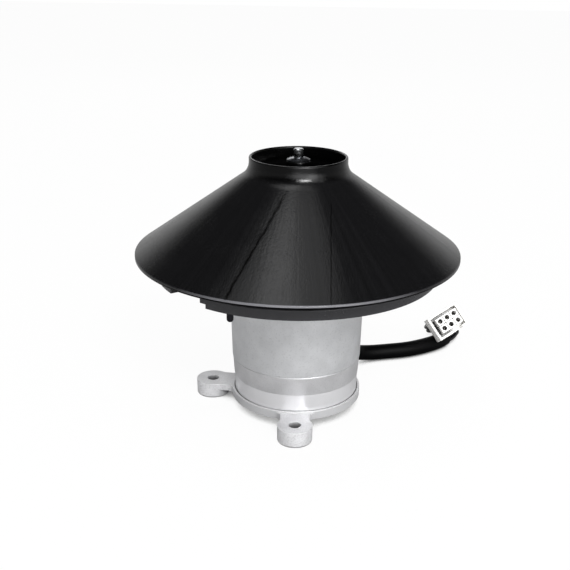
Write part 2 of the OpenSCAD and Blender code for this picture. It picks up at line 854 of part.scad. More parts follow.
module board_capacitors() {
    can_radius = 3;
    color("#3b3f55") for (a = [190, 235, 310]) rotate([0, 0, a]) translate([16, 0, z_board + board_t])
        cylinder(r = can_radius, h = 8);
}

// Rubber grommet with a tapered nose
module cable_grommet() {
    nose_r = grommet_r + 1;
    end_r = grommet_r - 0.2;
    color("#1a1a1c") outlet_axis() rotate_extrude() polygon([
        [grommet_bore_r, -grommet_in],
        [grommet_r, -grommet_in],
        [grommet_r, grommet_out],
        [nose_r, grommet_out],
        [nose_r, grommet_out + 1.6],
        [end_r, grommet_out + grommet_nose],
        [grommet_bore_r, grommet_out + grommet_nose]
    ]);
}

// Soft sleeve over the wires
module cable_sleeve() {
    color("#17171a") polyhedron(
        tube_points(sleeve_route, sleeve_d / 2, sleeve_sides),
        tube_faces(len(sleeve_route), sleeve_sides));
}

// Six wires from the sleeve's end round to the connector's back
module lead_wires() {
    color("#1c1c20") for (i = [-1 : 1], j = [-1, 1]) polyhedron(
        tube_points(wire_route(i, j), wire_d / 2, wire_sides),
        tube_faces(bundle_last + 1, wire_sides));
}

// Turns a child from the connector's own axes to where it lies
module at_plug() {
    translate(plug_at) rotate([90 - plug_pitch, 0, plug_yaw]) rotate([0, 0, plug_roll]) children();
}

// Places the child at each contact
module at_contacts() {
    for (i = [-1 : 1], j = [-1, 1]) translate([i * contact_pitch, j * contact_pitch / 2, 0]) children();
}

// Connector: a shell round six towers that stand proud of it
module connector_housing() {
    shell_h = plug_len - tower_proud;
    key_w = 4.6;
    color("#f1f0ec") at_plug() difference() {
        union() {
            translate([-plug_w / 2, -plug_h / 2, -plug_len]) difference() {
                cube([plug_w, plug_h, shell_h]);
                translate([plug_wall, plug_wall, tower_root])
                    cube([plug_w - 2 * plug_wall, plug_h - 2 * plug_wall, shell_h]);
                translate([plug_w / 2 + 0.6, -1, tower_root]) cube([key_w, plug_wall + 1.6, shell_h]);
            }
            at_contacts() translate([-tower_w / 2, -tower_w / 2, tower_root - plug_len - 1])
                cube([tower_w, tower_w, plug_len - tower_root + 1]);
            translate([-1.2, -contact_pitch / 2, tower_root - plug_len - 1])
                cube([2.4, contact_pitch, plug_len - tower_root - 1]);
        }
        at_contacts() translate([0, 0, -plug_len - 1]) cylinder(r = tower_hole_r, h = plug_len + 2);
    }
}

// Crimped contacts inside the towers
module connector_contacts() {
    recess = 5;
    color("#c8b27a") at_plug() at_contacts() translate([0, 0, -plug_len]) difference() {
        cylinder(r = contact_r, h = plug_len - recess);
        translate([0, 0, plug_len - recess - 5]) cylinder(r = contact_r - 0.35, h = 6);
    }
}

shroud();
blades();
hub_plate();
hub_bush();
hub_clip();
balance_pin();
shaft();
rotor_core();
rotor_magnets();
sensor_magnet();
shaft_circlip();
upper_bearing_inner_ring();
lower_bearing_inner_ring();
upper_bearing_outer_ring();
lower_bearing_outer_ring();
upper_bearing_balls();
lower_bearing_balls();
upper_bearing_cage();
lower_bearing_cage();
motor_can();
bearing_cup();
middle_ring();
mounting_base();
bottom_cap();
clamp_screws();
wave_washer();
shaft_seal();
stator_core();
upper_insulator();
lower_insulator();
stator_coils();
control_board();
hall_sensors();
board_capacitors();
cable_grommet();
cable_sleeve();
lead_wires();
connector_housing();
connector_contacts();
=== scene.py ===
"""Boiler fan motor with its impeller: finishes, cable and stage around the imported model."""
import math

import bpy
from mathutils import Matrix, Quaternion, Vector


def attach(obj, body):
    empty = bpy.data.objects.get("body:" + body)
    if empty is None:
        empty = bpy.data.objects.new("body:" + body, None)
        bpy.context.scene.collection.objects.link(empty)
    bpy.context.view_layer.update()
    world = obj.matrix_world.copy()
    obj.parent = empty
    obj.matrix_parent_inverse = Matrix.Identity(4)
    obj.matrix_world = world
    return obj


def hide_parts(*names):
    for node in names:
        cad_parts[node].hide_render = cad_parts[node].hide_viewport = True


bl_info = {
    "name": "Boiler Fan Motor",
    "version": (1, 0, 0),
    "blender": (4, 5, 0),
    "location": "View3D > Sidebar > Fan",
    "description": "Finishes, cable and stage for a boiler fan motor with its impeller",
    "category": "Object",
}

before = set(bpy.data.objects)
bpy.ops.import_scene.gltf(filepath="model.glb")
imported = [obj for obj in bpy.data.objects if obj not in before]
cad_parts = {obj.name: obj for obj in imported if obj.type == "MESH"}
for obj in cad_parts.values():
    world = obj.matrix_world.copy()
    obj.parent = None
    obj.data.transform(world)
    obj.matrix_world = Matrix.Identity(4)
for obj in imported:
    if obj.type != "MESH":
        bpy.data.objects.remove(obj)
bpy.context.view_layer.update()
MM = 0.001

# The wheel in mm: the shroud's outer radius, its lower end and its collar's foot, and the hub plate's outer radius
SHROUD_R = 74.0
SHROUD_Z = 75.5
COLLAR_Z = 113.0
RIM_R = 64.8
# Dark lines on the shroud: direction across the line, distance from the axis and half width, in mm; the second is
# painted shade along the edge of a soft box's reflection
DARK_LINES = (((0.933, -0.36, 0), 8.85, 1.0), ((0.9915, 0.1304, 0), 14.27, 0.3))
# Where the dark lines can be: this far out at the front, in mm
DARK_LINES_START, DARK_LINES_FULL = 24.0, 32.0
# Directions in which the wheel's edges are worn most and carry a painted highlight, and in which a painted reflection
# streak on the collar is left out of its painted shade
WORN_AND_LIT_SIDE = (0.15, -0.99, 0)
REFLECTION_STREAK_SIDE = (0.27, -0.963, 0)
# The base in mm: its turned band's lower end and radius, and its flange's radius
BAND_Z, BAND_R, FLANGE_R = 7.3, 29.3, 30.7
# A wave texture of this scale repeats once in each mm
WAVE_PER_MM = 0.314

# Route of the sleeve's centreline in millimetres, from inside the grommet to its open end
SLEEVE_ROUTE = [
    (13.2, 22.9, 17.6), (15.0, 26.0, 15.9), (17.2, 29.9, 13.8), (19.5, 33.8, 11.7), (21.8, 37.7, 9.6),
    (24.1, 41.3, 7.7), (26.8, 44.7, 6.0), (30.1, 47.6, 4.9), (33.9, 49.9, 4.3), (38.1, 51.9, 4.1),
    (42.6, 53.7, 4.1), (47.3, 55.6, 4.1), (52.0, 57.9, 4.1), (56.2, 60.6, 4.1), (59.9, 63.4, 4.1),
    (63.2, 66.3, 4.1), (66.3, 69.4, 4.1), (69.1, 72.8, 4.1), (71.4, 76.4, 4.1),
]
# Route of the wire bundle's middle: out of the sleeve, round a rising loop, and up towards the connector
LOOP_CENTRE, LOOP_R = (70.2, 89.6), 6.8
LOOP_Z, LOOP_RISE = 4.2, 0.1
LOOP_TURNS = [math.radians(30 * k - 30) for k in range(8)]
BUNDLE_ROUTE = [
    (71.5, 76.6, 4.1), (73.4, 79.7, 4.1), (75.0, 82.9, 4.1),
    *((LOOP_CENTRE[0] + LOOP_R * math.cos(turn), LOOP_CENTRE[1] + LOOP_R * math.sin(turn), LOOP_Z + LOOP_RISE * k)
      for k, turn in enumerate(LOOP_TURNS)),
    (63.9, 86.3, 5.9), (66.3, 82.3, 8.3),
]
# Distance from wire to wire in the bundle and from contact to contact in the connector, in mm
WIRE_STEP = 2.15
CONTACT_PITCH = 4.2
# The last points of the route over which the wires spread to the contacts
SPREAD_POINTS = 5
# Points drawn on a cord from one point of its route to the next
ROUTE_STEPS = 6
# The connector: the middle of its face and its length in mm, and its turns
PLUG_AT = Vector((72.8, 55.8, 23.0))
PLUG_LENGTH = 16.0
PLUG_YAW, PLUG_PITCH, PLUG_ROLL = (math.radians(a) for a in (8, 28, 33))
# Where the bundle lies straight behind the connector, in mm from its back
PLUG_RUN_IN = (9, 4.5, 0.1)
# The connector's lower side, towards the cable, where the painted shade in its recesses is heaviest
SHADED_SIDE = Vector((-0.654, -0.355, -0.668))

# The camera, fitted to the photograph: its place in mm, the way it looks, and its right
CAMERA_AT = Vector((58.26, -399.5, 207.52))
CAMERA_AHEAD = Vector((-0.1482, 0.9262, -0.3467))
CAMERA_RIGHT = Vector((0.987, 0.1606, 0.007))
SENSOR_WIDTH = 36.0
# The floor lies this far under the feet, in mm
FLOOR_GAP = 0.02
# The surround's level for matt surfaces, and for gloss at the horizon and overhead
FILL, HORIZON, CEILING = 0.55, 0.62, 0.02
# Soft boxes: name, place, aim, and width and height, all in metres, then power in watts and roll in degrees
LAMPS = (
    ("top_box", (-0.083, -0.18, 0.95), (-0.083, -0.18, 0.0), (0.74, 0.5), 1.0, 16.3),
    ("core_box", (-0.08, -0.2, 0.94), (-0.08, -0.2, 0.0), (0.22, 0.5), 0.45, 16.3),
    ("back_box", (-0.25, 1.1, 0.62), (-0.05, 0.0, 0.02), (0.5, 0.3), 1.3, 0.0),
    ("front_box", (0.47, -1.07, 0.95), (0.0, 0.0, 0.05), (0.42, 0.22), 10.5, 0.0),
    ("low_box", (0.5, -1.3, 0.42), (0.0, 0.0, 0.05), (1.9, 0.75), 8.0, 0.0),
    ("right_box", (0.9, -0.8, 0.62), (0.0, 0.0, 0.06), (0.9, 0.9), 5.5, 0.0),
)


def linear(code):
    """An sRGB hex colour as linear red, green, blue and alpha."""
    def one(value):
        value /= 255
        return value / 12.92 if value <= 0.04045 else ((value + 0.055) / 1.055) ** 2.4
    return tuple(one(int(code[i:i + 2], 16)) for i in (1, 3, 5)) + (1.0,)


def add(tree, kind, inputs=None, **settings):
    """Adds a shader node. inputs gives each socket a value, or the output that feeds it."""
    made = tree.nodes.new("ShaderNode" + kind)
    for name, value in settings.items():
        setattr(made, name, value)
    for name, value in (inputs or {}).items():
        if isinstance(value, bpy.types.NodeSocket):
            tree.links.new(value, made.inputs[name])
        else:
            made.inputs[name].default_value = value
    return made


def begin(name):
    """An empty material: its node tree, and the object's own place in millimetres."""
    material = bpy.data.materials.new(name)
    material.use_nodes = True
    tree = material.node_tree
    tree.nodes.clear()
    place = add(tree, "TexCoord").outputs["Object"]
    spot = add(tree, "VectorMath", {0: place, "Scale": 1 / MM}, operation="SCALE").outputs[0]
    return material, tree, spot


def surface(tree, inputs):
    """Ends a material with its shader."""
    shader = add(tree, "BsdfPrincipled", inputs)
    add(tree, "OutputMaterial", {"Surface": shader.outputs["BSDF"]})


def tint(colour, factor):
    """A colour made lighter or darker."""
    return tuple(min(1.0, c * factor) for c in colour[:3]) + (1.0,)


def glass_filled_nylon(colour, name, rim, low, scuff_and_highlight, aside):
    """Black glass-filled nylon, moulded. Its edge face, outside the radius rim, is pale above the height low and
    painted black below as shade.
    """
    # The skin is satin and nearly black, with faint flow lines from the hub outwards and grainy gloss.
    # The fifth argument is the colour of worn places, on the lit side partly a painted highlight; aside is the share of
    # wear away from the most worn and lit side
    material, tree, spot = begin(name)
    flat = add(tree, "VectorMath", {0: spot, 1: (1, 1, 0)}, operation="MULTIPLY").outputs[0]
    bearing = add(tree, "VectorMath", {0: flat}, operation="NORMALIZE").outputs[0]
    radius = add(tree, "VectorMath", {0: flat}, operation="LENGTH").outputs["Value"]
    front = add(tree, "VectorMath", {0: spot, 1: (0, -1, 0)}, operation="DOT_PRODUCT").outputs["Value"]
    height = add(tree, "VectorMath", {0: spot, 1: (0, 0, 1)}, operation="DOT_PRODUCT").outputs["Value"]
    # Flow lines about 1 mm wide halfway up the cone, where the radius is about 48 mm
    flow = add(tree, "TexNoise", {"Vector": bearing, "Scale": 48.0, "Detail": 3.0}).outputs["Fac"]
    grain = add(tree, "TexNoise", {"Vector": spot, "Scale": 1 / 0.8, "Detail": 3.0}).outputs["Fac"]
    cloud = add(tree, "TexNoise", {"Vector": spot, "Scale": 1 / 13, "Detail": 3.0}).outputs["Fac"]
    streak = add(tree, "MapRange", {"Value": flow, "From Min": 0.35, "From Max": 0.7}).outputs["Result"]
    shade = add(tree, "Mix", {"Factor": streak, 6: colour, 7: tint(colour, 1.6)}, data_type="RGBA").outputs[2]
    wide = add(tree, "MapRange", {"Value": cloud, "From Min": 0.3, "From Max": 0.7, "To Min": 0.12, "To Max": 0.2})
    fine = add(tree, "MapRange", {"Value": grain, "From Min": 0.45, "From Max": 0.7, "To Max": 0.1})
    rough = add(tree, "Math", {0: wide.outputs["Result"], 1: fine.outputs["Result"]}, operation="ADD").outputs[0]
    # Two dark lines run down the front of the cone, black, broken and without gloss; the second is painted shade along
    # the edge of a soft box's reflection
    near = add(tree, "MapRange", {"Value": front, "From Min": DARK_LINES_START, "From Max": DARK_LINES_FULL}).outputs["Result"]
    cone = add(tree, "MapRange", {"Value": height, "From Min": SHROUD_Z + 1.2, "From Max": SHROUD_Z + 1.5})
    broken = add(tree, "MapRange", {"Value": grain, "From Min": 0.35, "From Max": 0.55, "To Min": 0.5})
    dark_lines = add(tree, "Math", {0: near, 1: cone.outputs["Result"]}, operation="MULTIPLY").outputs[0]
    dark_lines = add(tree, "Math", {0: dark_lines, 1: broken.outputs["Result"]}, operation="MULTIPLY").outputs[0]
    wander = add(tree, "TexNoise", {"Vector": spot, "Scale": 1 / 4, "Detail": 2.0}).outputs["Fac"]
    line_masks = []
    for across, offset, width in DARK_LINES:
        off = add(tree, "VectorMath", {0: spot, 1: across}, operation="DOT_PRODUCT").outputs["Value"]
        off = add(tree, "Math", {0: wander, 1: 2 * width, 2: off}, operation="MULTIPLY_ADD").outputs[0]
        off = add(tree, "Math", {0: off, 1: offset + width}, operation="SUBTRACT").outputs[0]
        off = add(tree, "Math", {0: off}, operation="ABSOLUTE").outputs[0]
        line_masks.append(add(tree, "MapRange", {"Value": off, "From Min": width, "From Max": 0.0}).outputs["Result"])
    either_line = add(tree, "Math", {0: line_masks[0], 1: line_masks[1]}, operation="MAXIMUM").outputs[0]
    dark_lines = add(tree, "Math", {0: dark_lines, 1: either_line}, operation="MULTIPLY").outputs[0]
    # The upper part of the edge face is pale from handling and, on the lit side, a painted highlight; the part below it
    # is painted black as the shade it lies in
    outer = add(tree, "MapRange", {"Value": radius, "From Min": rim - 0.5, "From Max": rim - 0.3}).outputs["Result"]
    upper = add(tree, "MapRange", {"Value": height, "From Min": low, "From Max": low + 0.2}).outputs["Result"]
    scuffed_and_lit = add(tree, "Math", {0: outer, 1: upper}, operation="MULTIPLY").outputs[0]
    shaded = add(tree, "Math", {0: outer, 1: scuffed_and_lit}, operation="SUBTRACT").outputs[0]
    # Painted shade darkens the collar, except for a painted reflection streak at the front
    collar = add(tree, "MapRange", {"Value": height, "From Min": COLLAR_Z - 1, "From Max": COLLAR_Z + 1, "To Max": 0.6})
    patch = add(tree, "VectorMath", {0: bearing, 1: REFLECTION_STREAK_SIDE}, operation="DOT_PRODUCT").outputs["Value"]
    rest = add(tree, "MapRange", {"Value": patch, "From Min": 0.997, "From Max": 0.965}).outputs["Result"]
    lines_and_painted_shade = add(tree, "Math", {0: rest, 1: collar.outputs["Result"]}, operation="MULTIPLY").outputs[0]
    # Black metal, which neither colours nor reflects, draws the dark lines and the painted shade
    for other in (dark_lines, shaded):
        lines_and_painted_shade = add(tree, "Math", {0: lines_and_painted_shade, 1: other}, operation="MAXIMUM").outputs[0]
    shade = add(tree, "Mix", {"Factor": lines_and_painted_shade, 6: shade, 7: linear("#030303")}, data_type="RGBA").outputs[2]
    # A thin line along the sharp edges is worn too, most of all on the lit side, where it is partly a painted highlight
    edge = add(tree, "Bevel", {"Radius": 0.8 * MM}, samples=6).outputs["Normal"]
    true = add(tree, "NewGeometry").outputs["Normal"]
    turn = add(tree, "VectorMath", {0: edge, 1: true}, operation="DOT_PRODUCT").outputs["Value"]
    sharp = add(tree, "MapRange", {"Value": turn, "From Min": 0.985, "From Max": 0.85, "To Max": 0.15})
    worn_and_lit = add(tree, "Math", {0: sharp.outputs["Result"], 1: scuffed_and_lit}, operation="MAXIMUM").outputs[0]
    toward = add(tree, "VectorMath", {0: bearing, 1: WORN_AND_LIT_SIDE}, operation="DOT_PRODUCT").outputs["Value"]
    side = add(tree, "MapRange", {"Value": toward, "From Min": 0.75, "From Max": 1.0, "To Min": aside})
    wear_and_highlight = add(tree, "Math", {0: worn_and_lit, 1: side.outputs["Result"]}, operation="MULTIPLY").outputs[0]
    shade = add(tree, "Mix", {"Factor": wear_and_highlight, 6: shade, 7: scuff_and_highlight}, data_type="RGBA").outputs[2]
    lines = add(tree, "Bump", {"Height": flow, "Distance": 0.03 * MM, "Normal": edge}).outputs["Normal"]
    skin = add(tree, "Bump", {"Height": grain, "Distance": 0.06 * MM, "Normal": lines}).outputs["Normal"]
    surface(tree, {"Base Color": shade, "Metallic": lines_and_painted_shade, "Roughness": rough, "Normal": skin,
                   "IOR": 1.5, "Specular IOR Level": 0.38})
    return material


def cast_aluminium(colour, name, rough, grain_mm, depth_mm):
    """Die-cast aluminium, blasted."""
    # A pale grey skin with fine grain, faint clouds and worn edges
    material, tree, spot = begin(name)
    grain = add(tree, "TexNoise", {"Vector": spot, "Scale": 1 / grain_mm, "Detail": 4.0}).outputs["Fac"]
    cloud = add(tree, "TexNoise", {"Vector": spot, "Scale": 1 / 7, "Detail": 5.0}).outputs["Fac"]
    patch = add(tree, "MapRange", {"Value": cloud, "From Min": 0.35, "From Max": 0.65}).outputs["Result"]
    shade = add(tree, "Mix", {"Factor": patch, 6: tint(colour, 0.91), 7: colour}, data_type="RGBA").outputs[2]
    speck = add(tree, "MapRange", {"Value": grain, "From Min": 0.46, "From Max": 0.3, "To Max": 0.5}).outputs["Result"]
    shade = add(tree, "Mix", {"Factor": speck, 6: shade, 7: tint(colour, 0.72)}, data_type="RGBA").outputs[2]
    matt = add(tree, "MapRange", {"Value": grain, "From Min": 0.3, "From Max": 0.7,
                                  "To Min": rough[0], "To Max": rough[1]})
    edge = add(tree, "Bevel", {"Radius": 0.25 * MM}, samples=4).outputs["Normal"]
    skin = add(tree, "Bump", {"Height": grain, "Distance": depth_mm * MM, "Normal": edge}).outputs["Normal"]
    surface(tree, {"Base Color": shade, "Roughness": matt.outputs["Result"], "Normal": skin, "Metallic": 0.75})
    return material


def turned_casting(colour):
    """Cast aluminium with one turned band."""
    # Fine bright rings round the band, and sand grain with soft edges on the flange and the feet
    material, tree, spot = begin("turned_casting")
    height = add(tree, "SeparateXYZ", {0: spot}).outputs["Z"]
    flat = add(tree, "VectorMath", {0: spot, 1: (1, 1, 0)}, operation="MULTIPLY").outputs[0]
    radius = add(tree, "VectorMath", {0: flat}, operation="LENGTH").outputs["Value"]
    inside = add(tree, "Math", {0: radius, 1: BAND_R + 0.2}, operation="LESS_THAN").outputs[0]
    above = add(tree, "Math", {0: height, 1: BAND_Z}, operation="GREATER_THAN").outputs[0]
    band = add(tree, "Math", {0: inside, 1: above}, operation="MULTIPLY").outputs[0]
    # Tool marks are finer than this in life, and are drawn 0.25 mm apart so that they show
    marks = add(tree, "TexNoise", {"W": height, "Scale": 1 / 0.25, "Detail": 2.0}, noise_dimensions="1D").outputs["Fac"]
    grain = add(tree, "TexNoise", {"Vector": spot, "Scale": 1 / 0.6, "Detail": 5.0}).outputs["Fac"]
    cloud = add(tree, "TexNoise", {"Vector": spot, "Scale": 1 / 5, "Detail": 4.0}).outputs["Fac"]
    patch = add(tree, "MapRange", {"Value": cloud, "From Min": 0.35, "From Max": 0.65}).outputs["Result"]
    grey, pale = tint(colour, 0.84), tint(colour, 0.96)
    sand = add(tree, "Mix", {"Factor": patch, 6: grey, 7: pale}, data_type="RGBA").outputs[2]
    speck = add(tree, "MapRange", {"Value": grain, "From Min": 0.5, "From Max": 0.34, "To Max": 0.7}).outputs["Result"]
    sand = add(tree, "Mix", {"Factor": speck, 6: sand, 7: tint(colour, 0.6)}, data_type="RGBA").outputs[2]
    # The flange's wall is left as cast, rough and grey
    true = add(tree, "NewGeometry").outputs["Normal"]
    upward = add(tree, "VectorMath", {0: true, 1: (0, 0, 1)}, operation="DOT_PRODUCT").outputs["Value"]
    steep = add(tree, "MapRange", {"Value": upward, "From Min": 0.6, "From Max": 0.3}).outputs["Result"]
    round_wall = add(tree, "MapRange", {"Value": radius, "From Min": FLANGE_R + 1.5, "From Max": FLANGE_R + 0.3})
    wall = add(tree, "Math", {0: round_wall.outputs["Result"], 1: steep}, operation="MULTIPLY").outputs[0]
    sand = add(tree, "Mix", {"Factor": wall, 6: sand, 7: tint(colour, 0.7)}, data_type="RGBA").outputs[2]
    # Handling has polished the edges of the feet and the flange
    edge = add(tree, "Bevel", {"Radius": 0.45 * MM}, samples=6).outputs["Normal"]
    turn = add(tree, "VectorMath", {0: edge, 1: true}, operation="DOT_PRODUCT").outputs["Value"]
    wear_and_highlight = add(tree, "MapRange", {"Value": turn, "From Min": 0.98, "From Max": 0.85, "To Max": 0.8}).outputs["Result"]
    sand = add(tree, "Mix", {"Factor": wear_and_highlight, 6: sand, 7: linear("#f8f8f8")}, data_type="RGBA").outputs[2]
    shade = add(tree, "Mix", {"Factor": band, 6: sand, 7: tint(colour, 0.99)}, data_type="RGBA").outputs[2]
    # Painted shade darkens the bores and other deep hollows
    reach = add(tree, "AmbientOcclusion", {"Distance": 8 * MM}, samples=8).outputs["AO"]
    bore_shade = add(tree, "MapRange", {"Value": reach, "From Min": 0.45, "From Max": 0.2, "To Max": 0.9}).outputs["Result"]
    shade = add(tree, "Mix", {"Factor": bore_shade, 6: shade, 7: linear("#3c3c3e")}, data_type="RGBA").outputs[2]
    cast = add(tree, "MapRange", {"Value": grain, "From Min": 0.3, "From Max": 0.7, "To Min": 0.42, "To Max": 0.6})
    cut = add(tree, "MapRange", {"Value": marks, "From Min": 0.3, "From Max": 0.7, "To Min": 0.3, "To Max": 0.42})
    matt = add(tree, "Mix", {"Factor": band, 2: cast.outputs["Result"], 3: cut.outputs["Result"]},
               data_type="FLOAT").outputs[0]
    metal = add(tree, "MapRange", {"Value": band, "To Min": 0.45, "To Max": 0.6}).outputs["Result"]
    relief = add(tree, "Mix", {"Factor": band, 2: grain, 3: marks}, data_type="FLOAT").outputs[0]
    skin = add(tree, "Bump", {"Height": relief, "Distance": 0.03 * MM, "Normal": edge}).outputs["Normal"]
    surface(tree, {"Base Color": shade, "Roughness": matt, "Normal": skin, "Metallic": metal})
    return material


def turned_metal(colour, name, rough):
    """Turned, ground or pressed metal."""
    # Bright, with fine rings round the shaft's axis and a faint haze
    material, tree, spot = begin(name)
    tall = add(tree, "VectorMath", {0: spot, 1: (0.05, 0.05, 1.0)}, operation="MULTIPLY").outputs[0]
    rings = add(tree, "TexNoise", {"Vector": tall, "Scale": 1 / 0.35, "Detail": 2.0}).outputs["Fac"]
    haze = add(tree, "TexNoise", {"Vector": spot, "Scale": 1 / 3, "Detail": 2.0}).outputs["Fac"]
    patch = add(tree, "MapRange", {"Value": haze, "From Min": 0.3, "From Max": 0.7, "To Max": 0.7}).outputs["Result"]
    shade = add(tree, "Mix", {"Factor": patch, 6: colour, 7: tint(colour, 0.8)}, data_type="RGBA").outputs[2]
    matt = add(tree, "MapRange", {"Value": rings, "From Min": 0.3, "From Max": 0.7,
                                  "To Min": rough[0], "To Max": rough[1]})
    skin = add(tree, "Bump", {"Height": rings, "Distance": 0.008 * MM}).outputs["Normal"]
    surface(tree, {"Base Color": shade, "Roughness": matt.outputs["Result"], "Normal": skin, "Metallic": 1.0})
    return material


def stacked_sheets(colour):
    """Electrical steel, stamped into sheets and stacked."""
    # A fine line at each sheet's edge; sheets are 0.5 mm, and are drawn 1 mm thick so that they show
    material, tree, spot = begin("stacked_sheets")
    sheet = add(tree, "TexWave", {"Vector": spot, "Scale": WAVE_PER_MM}, bands_direction="Z").outputs["Fac"]
    grain = add(tree, "TexNoise", {"Vector": spot, "Scale": 1 / 0.6}).outputs["Fac"]
    shade = add(tree, "Mix", {"Factor": sheet, 6: tint(colour, 0.6), 7: colour}, data_type="RGBA").outputs[2]
    matt = add(tree, "MapRange", {"Value": grain, "From Min": 0.3, "From Max": 0.7, "To Min": 0.35, "To Max": 0.55})
    skin = add(tree, "Bump", {"Height": sheet, "Distance": 0.04 * MM}).outputs["Normal"]
    surface(tree, {"Base Color": shade, "Roughness": matt.outputs["Result"], "Normal": skin, "Metallic": 1.0})
    return material


def moulded(colour, name, rough, grain_mm, depth_mm, gloss, recess_shade=None):
    """Plastic or rubber, moulded or extruded."""
    # An even colour with a fine skin, a little darker in patches. The last argument is the colour of painted shade in
    # narrow gaps
    material, tree, spot = begin(name)
    grain = add(tree, "TexNoise", {"Vector": spot, "Scale": 1 / grain_mm, "Detail": 3.0}).outputs["Fac"]
    cloud = add(tree, "TexNoise", {"Vector": spot, "Scale": 1 / 6, "Detail": 2.0}).outputs["Fac"]
    patch = add(tree, "MapRange", {"Value": cloud, "From Min": 0.3, "From Max": 0.7}).outputs["Result"]
    shade = add(tree, "Mix", {"Factor": patch, 6: tint(colour, 0.9), 7: colour}, data_type="RGBA").outputs[2]
    if recess_shade:
        # Painted shade in narrow gaps, heaviest on the connector's lower side
        reach = add(tree, "AmbientOcclusion", {"Distance": 3 * MM}, samples=8).outputs["AO"]
        gap_shade = add(tree, "MapRange", {"Value": reach, "From Min": 0.5, "From Max": 0.15, "To Max": 0.95})
        lower = add(tree, "VectorMath", {0: spot, 1: SHADED_SIDE}, operation="DOT_PRODUCT").outputs["Value"]
        middle = PLUG_AT.dot(SHADED_SIDE)
        share = add(tree, "MapRange", {"Value": lower, "From Min": middle - 5, "From Max": middle + 3, "To Min": 0.25})
        gap_shade = add(tree, "Math", {0: gap_shade.outputs["Result"], 1: share.outputs["Result"]},
                   operation="MULTIPLY").outputs[0]
        shade = add(tree, "Mix", {"Factor": gap_shade, 6: shade, 7: recess_shade}, data_type="RGBA").outputs[2]
    matt = add(tree, "MapRange", {"Value": grain, "From Min": 0.3, "From Max": 0.7,
                                  "To Min": rough[0], "To Max": rough[1]})
    edge = add(tree, "Bevel", {"Radius": 0.15 * MM}, samples=4).outputs["Normal"]
    skin = add(tree, "Bump", {"Height": grain, "Distance": depth_mm * MM, "Normal": edge}).outputs["Normal"]
    surface(tree, {"Base Color": shade, "Roughness": matt.outputs["Result"], "Normal": skin, "IOR": 1.5,
                   "Specular IOR Level": gloss})
    return material


def enamelled_copper(colour):
    """Copper wire, enamelled and wound."""
    # Turns side by side under varnish; wire of 0.5 mm is drawn 1 mm thick so that it shows
    material, tree, spot = begin("enamelled_copper")
    turns = add(tree, "TexWave", {"Vector": spot, "Scale": WAVE_PER_MM, "Distortion": 0.3},
                bands_direction="Z").outputs["Fac"]
    shade = add(tree, "Mix", {"Factor": turns, 6: tint(colour, 0.55), 7: colour}, data_type="RGBA").outputs[2]
    skin = add(tree, "Bump", {"Height": turns, "Distance": 0.15 * MM}).outputs["Normal"]
    surface(tree, {"Base Color": shade, "Normal": skin, "Metallic": 0.9, "Roughness": 0.28,
                   "Coat Weight": 0.6, "Coat Roughness": 0.15})
    return material


def printed_board(colour):
    """Glass-fibre board, printed and coated."""
    # Green solder resist, with lighter tracks about 1 mm apart under it
    material, tree, spot = begin("printed_board")
    tracks = add(tree, "TexBrick", {"Vector": spot, "Scale": 0.22, "Mortar Size": 0.03}).outputs["Fac"]
    shade = add(tree, "Mix", {"Factor": tracks, 6: colour, 7: tint(colour, 1.9)}, data_type="RGBA").outputs[2]
    skin = add(tree, "Bump", {"Height": tracks, "Distance": 0.03 * MM}).outputs["Normal"]
    surface(tree, {"Base Color": shade, "Normal": skin, "Roughness": 0.3})
    return material


def finish(material, *names):
    """Gives a finish to CAD nodes."""
    for name in names:
        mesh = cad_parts[name].data
        mesh.materials.clear()
        mesh.materials.append(material)


def smooth_route(points):
    """Points of a smooth curve through the given ones, in metres."""
    points = [Vector(p) for p in points]
    ends = [2 * points[0] - points[1]] + points + [2 * points[-1] - points[-2]]
    route = []
    for i in range(1, len(ends) - 2):
        before, start, stop, after = ends[i - 1:i + 3]
        for k in range(ROUTE_STEPS):
            t = k / ROUTE_STEPS
            route.append(0.5 * ((2 * start) + (stop - before) * t
                                + (2 * before - 5 * start + 4 * stop - after) * t * t
                                + (3 * start - before - 3 * stop + after) * t ** 3))
    route.append(points[-1])
    return [p * MM for p in route]


def round_curve(name, route, diameter, material):
    """A round cord along a route, as a curve with closed ends."""
    data = bpy.data.curves.new(name, "CURVE")
    data.dimensions = "3D"
    data.bevel_depth = diameter / 2
    data.bevel_resolution = 6
    data.use_fill_caps = True
    line = data.splines.new("POLY")
    line.points.add(len(route) - 1)
    for point, place in zip(line.points, route):
        point.co = (*place, 1.0)
    data.materials.append(material)
    made = bpy.data.objects.new(name, data)
    bpy.context.scene.collection.objects.link(made)
    return made


def plug_axes():
    """The connector's own axes: along its rows, and out of its face."""
    turn = (Matrix.Rotation(PLUG_YAW, 3, "Z") @ Matrix.Rotation(math.pi / 2 - PLUG_PITCH, 3, "X")
            @ Matrix.Rotation(PLUG_ROLL, 3, "Z"))
    return turn.col[0].copy(), turn.col[2].copy()


